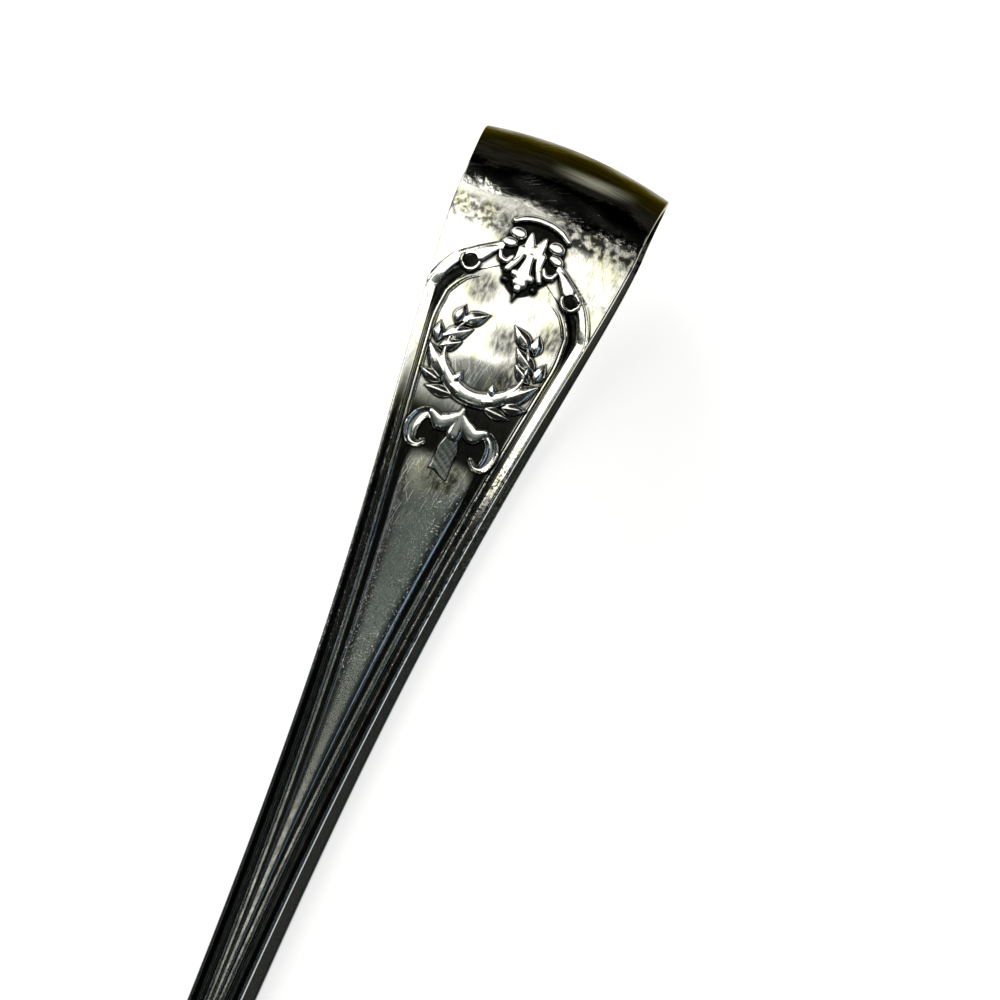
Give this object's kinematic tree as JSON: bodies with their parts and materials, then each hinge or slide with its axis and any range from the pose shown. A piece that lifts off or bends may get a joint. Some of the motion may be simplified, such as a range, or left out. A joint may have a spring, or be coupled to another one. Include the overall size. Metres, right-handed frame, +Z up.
{
  "type": "sugar tongs",
  "caption": "Sprung bow sugar tongs with tapering reeded arms, laurel wreath and ribbon ornament, and claw grips that close on a lump when the arms are squeezed.",
  "frame": {"origin": "under the middle of the part's box, on the surface that the tongs lie on", "axes": "+X from the claws to the bow, +Y across the strip, +Z up from the lower arm to the upper arm"},
  "size_m": [0.1076, 0.0168, 0.0279],
  "materials": {
    "polished_silver": "polished",
    "struck_silver": "satin",
    "cast_silver": "polished"
  },
  "bodies": {
    "bow": {"bow": "polished_silver"},
    "upper_arm": {"upper_arm": "struck_silver", "upper_claw": "cast_silver", "upper_acanthus_leaf": "cast_silver", "upper_left_scroll": "cast_silver", "upper_right_scroll": "cast_silver", "upper_left_laurel_spray": "cast_silver", "upper_right_laurel_spray": "cast_silver", "upper_ribbon_bow": "cast_silver"},
    "lower_arm": {"lower_arm": "struck_silver", "lower_claw": "cast_silver", "lower_acanthus_leaf": "cast_silver", "lower_left_scroll": "cast_silver", "lower_right_scroll": "cast_silver", "lower_left_laurel_spray": "cast_silver", "lower_right_laurel_spray": "cast_silver", "lower_ribbon_bow": "cast_silver"}
  },
  "joints": [
    {"name": "upper_squeeze", "type": "hinge", "parent": "bow", "child": "upper_arm", "pos_m": [0.04753, 0, 0.02226], "axis": [0, -1, 0], "range_deg": [-3, 5.2], "stiffness_Nm_per_rad": 2.5},
    {"name": "lower_squeeze", "type": "hinge", "parent": "bow", "child": "lower_arm", "pos_m": [0.04753, 0, 0.00569], "axis": [0, 1, 0], "range_deg": [-3, 5.2], "stiffness_Nm_per_rad": 2.5}
  ],
  "couplings": [
    {"joint": "lower_squeeze", "follows": "upper_squeeze", "ratio": 1}
  ]
}
